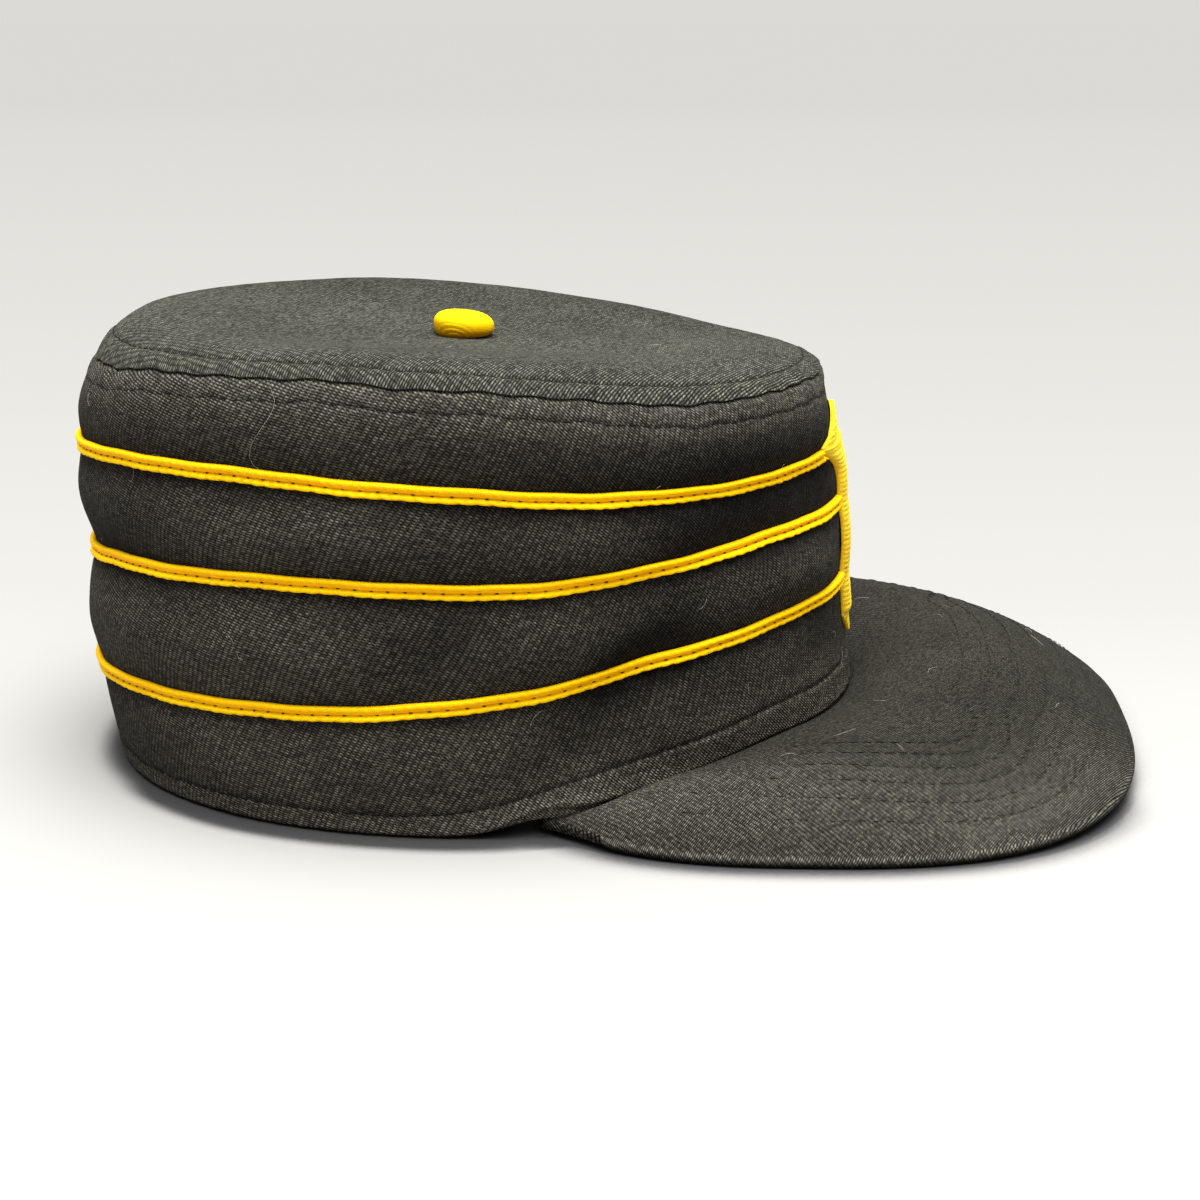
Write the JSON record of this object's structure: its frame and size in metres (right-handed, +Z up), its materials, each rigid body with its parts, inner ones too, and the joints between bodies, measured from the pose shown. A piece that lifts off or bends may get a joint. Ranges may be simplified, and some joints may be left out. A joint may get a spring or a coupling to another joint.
{
  "type": "fitted baseball cap",
  "caption": "Flat-topped fitted cap with an open hollow crown, corded braid rings, a plain raised front badge, a button on the top panel and an arched visor.",
  "frame": {"origin": "on the floor that the cap rests on, under the middle of its outline from above", "axes": "+X from the crown towards the visor's tip, +Y to the wearer's left, +Z up"},
  "size_m": [0.2798, 0.2, 0.1156],
  "materials": {
    "crown_cloth": "matte charcoal wool twill",
    "top_cloth": "matte charcoal wool twill",
    "visor_cloth": "matte charcoal wool twill",
    "braid_cord": "soft golden cord",
    "badge_stitching": "satin golden thread",
    "button_cloth": "smooth golden cloth"
  },
  "bodies": {
    "root": {"crown_side": "crown_cloth", "crown_top": "top_cloth", "visor": "visor_cloth", "braid_upper": "braid_cord", "braid_middle": "braid_cord", "braid_lower": "braid_cord", "front_badge": "badge_stitching", "top_button": "button_cloth"}
  },
  "joints": []
}
